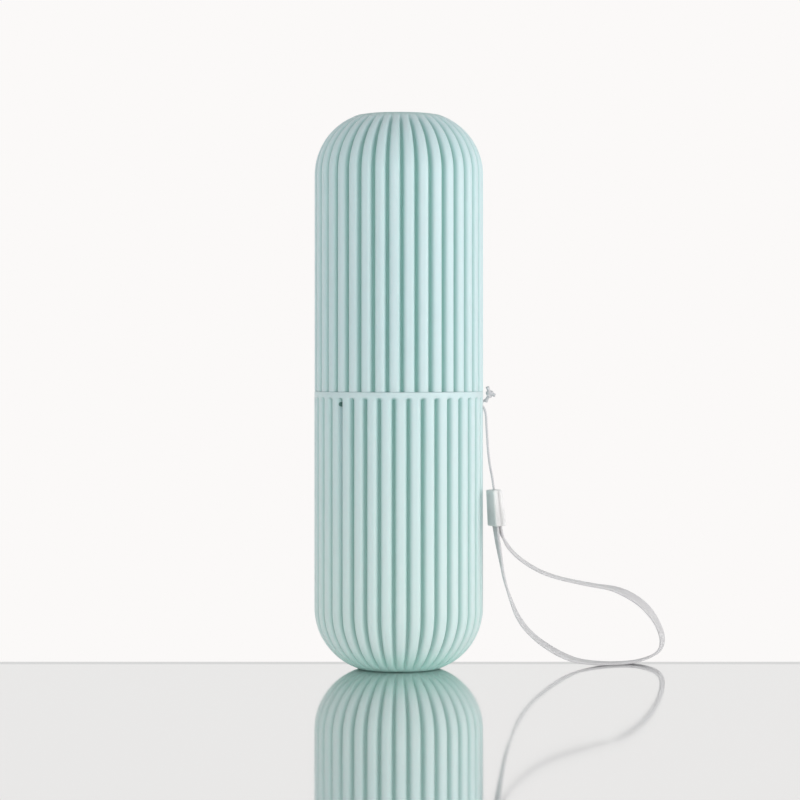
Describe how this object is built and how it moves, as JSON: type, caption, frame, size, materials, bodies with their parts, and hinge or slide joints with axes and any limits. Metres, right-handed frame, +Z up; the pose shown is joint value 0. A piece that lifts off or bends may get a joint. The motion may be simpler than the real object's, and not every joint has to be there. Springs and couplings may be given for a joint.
{
  "type": "toothbrush travel case",
  "caption": "Fluted capsule travel case for a toothbrush: a lower cup with a neck, a pull-off upper cup, and a wrist strap of string, clasp and ribbon loop.",
  "frame": {"origin": "centre of the foot, on the surface that the case stands on", "axes": "+Z up along the case's axis, +X towards the strap, -Y towards the front"},
  "size_m": [0.1285, 0.0606, 0.199],
  "materials": {
    "case_plastic": "satin",
    "strap_string": "matte",
    "clasp_plastic": "satin",
    "strap_ribbon": "matte"
  },
  "bodies": {
    "lower_case": {"lower_cup": "case_plastic", "strap_string": "strap_string", "strap_knot": "strap_string", "clasp_inner_shell": "clasp_plastic", "clasp_outer_shell": "clasp_plastic", "strap_ribbon": "strap_ribbon"},
    "cover": {"upper_cup": "case_plastic"}
  },
  "joints": [
    {"name": "cover_pull", "type": "slide", "parent": "lower_case", "child": "cover", "axis": [0, 0, 1], "range_m": [0, 0.11]}
  ]
}
